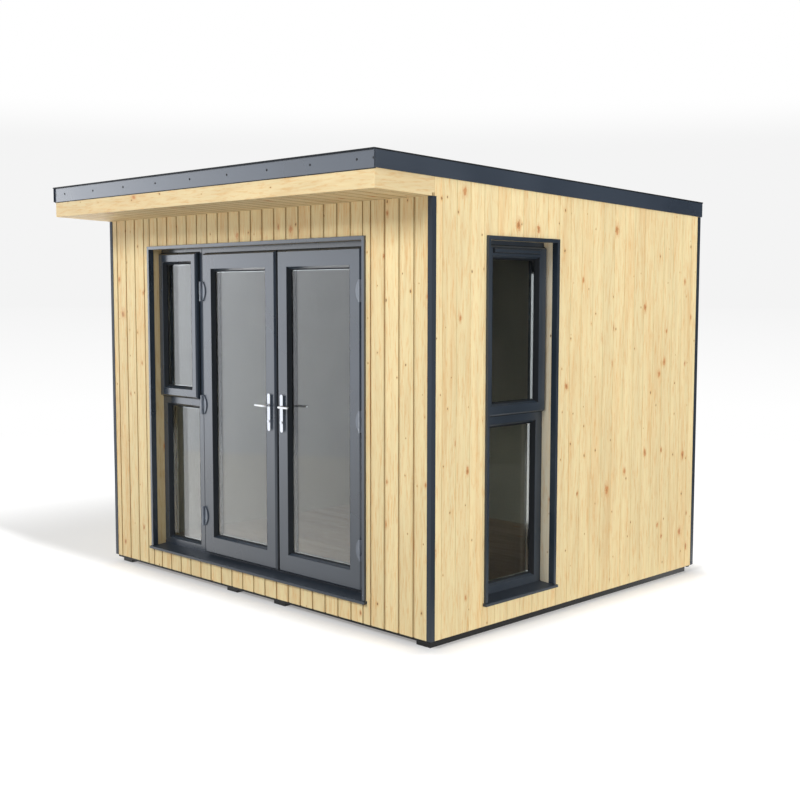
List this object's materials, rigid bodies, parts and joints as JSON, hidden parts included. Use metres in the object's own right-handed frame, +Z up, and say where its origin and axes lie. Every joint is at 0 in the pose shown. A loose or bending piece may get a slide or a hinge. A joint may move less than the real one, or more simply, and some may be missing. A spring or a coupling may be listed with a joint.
{
  "type": "garden office pod",
  "caption": "Insulated timber-clad garden room with a single-pitch canopy roof, glazed double doors, side light and tall side window.",
  "frame": {"origin": "ground level under the centre of the whole outline", "axes": "+X to the right seen from the glazed front, -Y out of the front, +Z up"},
  "size_m": [2.991, 2.921, 2.495],
  "materials": {
    "bearer_timber": "dark treated timber, matt",
    "floor_board": "brown boarded floor, satin",
    "wall_panel": "smooth off-white lined panel, matt",
    "pine_cladding": "knotty pine boards, matt",
    "pine_trim": "planed pine, matt",
    "membrane": "black roofing rubber, matt",
    "grey_metal": "anthracite grey coating, satin",
    "grey_frame": "anthracite grey frame profile, satin",
    "window_glass": "clear sealed glass units",
    "hinge_metal": "grey coated, satin",
    "polished_metal": "polished"
  },
  "bodies": {
    "building": {"bearer_left": "bearer_timber", "bearer_inner_left": "bearer_timber", "bearer_inner_right": "bearer_timber", "bearer_right": "bearer_timber", "floor_panel": "floor_board", "front_wall_left": "wall_panel", "front_wall_right": "wall_panel", "front_wall_header": "wall_panel", "back_wall": "wall_panel", "left_wall": "wall_panel", "right_wall_front": "wall_panel", "right_wall_back": "wall_panel", "right_wall_header": "wall_panel", "front_cladding": "pine_cladding", "back_cladding": "pine_cladding", "left_cladding": "pine_cladding", "right_cladding": "pine_cladding", "corner_trims": "grey_metal", "roof_panel": "wall_panel", "roof_membrane": "membrane", "canopy_fascia": "pine_trim", "canopy_soffit": "pine_trim", "front_flashing": "grey_metal", "back_flashing": "grey_metal", "side_flashings": "grey_metal", "front_opening_trim": "grey_metal", "front_opening_lining": "pine_trim", "front_opening_sill": "grey_metal", "side_window_trim": "grey_metal", "side_window_lining": "pine_trim", "side_window_sill": "grey_metal", "side_light_frame": "grey_frame", "side_light_sash": "grey_frame", "side_light_glass": "window_glass", "side_window_frame": "grey_frame", "side_window_sash": "grey_frame", "side_window_glass": "window_glass", "side_window_vent": "grey_frame", "door_frame": "grey_frame", "frame_hinges": "hinge_metal"},
    "left_door": {"left_door_leaf": "grey_frame", "left_door_glass": "window_glass", "left_door_hinges": "hinge_metal", "left_door_handle_plates": "polished_metal"},
    "right_door": {"right_door_leaf": "grey_frame", "right_door_glass": "window_glass", "right_door_hinges": "hinge_metal", "right_door_handle_plates": "polished_metal"},
    "left_lever": {"left_door_lever": "polished_metal"},
    "right_lever": {"right_door_lever": "polished_metal"}
  },
  "joints": [
    {"name": "left_door_hinge", "type": "hinge", "parent": "building", "child": "left_door", "pos_m": [-0.5375, -1.0155, 1.1], "axis": [0, 0, -1], "range_deg": [0, 90]},
    {"name": "right_door_hinge", "type": "hinge", "parent": "building", "child": "right_door", "pos_m": [0.8995, -1.0155, 1.1], "axis": [0, 0, 1], "range_deg": [0, 90]},
    {"name": "left_lever_turn", "type": "hinge", "parent": "left_door", "child": "left_lever", "pos_m": [0.123, -0.9705, 1.166], "axis": [0, -1, 0], "range_deg": [0, 40], "stiffness_Nm_per_rad": 1.2, "springref_deg": -20.05},
    {"name": "right_lever_turn", "type": "hinge", "parent": "right_door", "child": "right_lever", "pos_m": [0.239, -0.9705, 1.166], "axis": [0, 1, 0], "range_deg": [0, 40], "stiffness_Nm_per_rad": 1.2, "springref_deg": -20.05}
  ]
}
